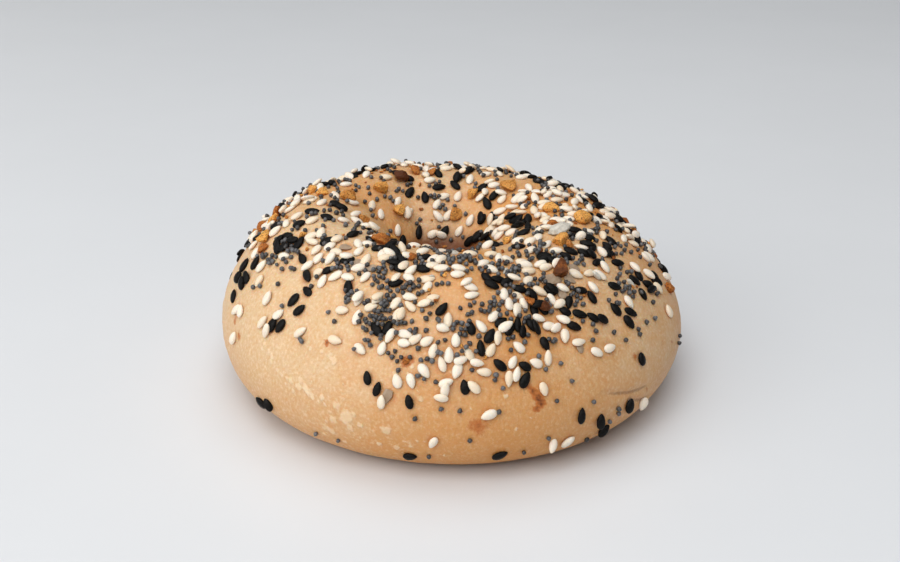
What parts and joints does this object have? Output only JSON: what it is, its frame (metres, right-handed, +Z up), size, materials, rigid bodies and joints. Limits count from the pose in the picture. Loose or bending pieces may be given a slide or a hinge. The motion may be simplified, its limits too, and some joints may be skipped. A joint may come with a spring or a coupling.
{
  "type": "bagel",
  "caption": "Baked ring of boiled dough with a narrow hole, its top strewn with sesame and poppy seeds, toasted flakes and salt.",
  "frame": {"origin": "middle of the bagel's footprint, on the surface that it stands on", "axes": "+Z up through the hole, -Y towards the side shown in the picture, -X towards the thicker side"},
  "size_m": [0.1104, 0.1096, 0.0441],
  "materials": {
    "crust": "smooth baked crust with a soft sheen",
    "white_sesame": "hulled white sesame seed",
    "black_sesame": "black sesame seed with a faint sheen",
    "poppy": "blue-grey poppy seed",
    "toasted_flake": "toasted garlic and onion flake",
    "salt": "coarse salt crystal"
  },
  "bodies": {
    "root": {"bagel": "crust"}
  },
  "joints": []
}
